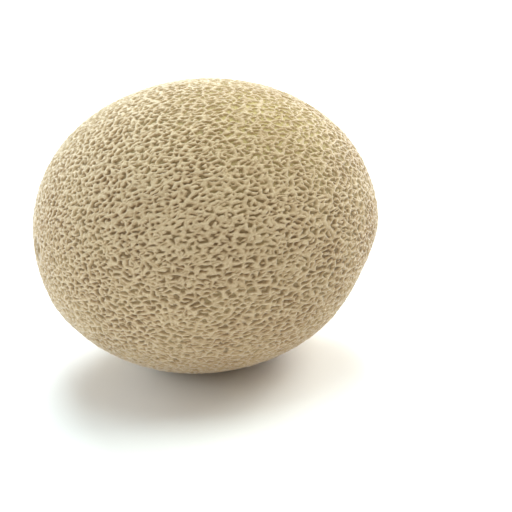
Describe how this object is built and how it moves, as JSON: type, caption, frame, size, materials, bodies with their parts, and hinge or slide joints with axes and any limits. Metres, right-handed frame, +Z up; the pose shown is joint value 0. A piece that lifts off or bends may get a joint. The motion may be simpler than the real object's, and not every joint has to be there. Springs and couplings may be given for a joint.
{
  "type": "melon",
  "caption": "Whole netted melon lying on its side: egg-shaped rind with a raised cork net, a dished stem scar and a small blossom scar, resting on a flat spot.",
  "frame": {"origin": "on the surface the fruit rests on, under the middle of its outline", "axes": "+X along the fruit from the blossom end to the stem end, +Z up"},
  "size_m": [0.1648, 0.1402, 0.1376],
  "materials": {
    "rind": "matte"
  },
  "bodies": {
    "root": {"melon": "rind"}
  },
  "joints": []
}
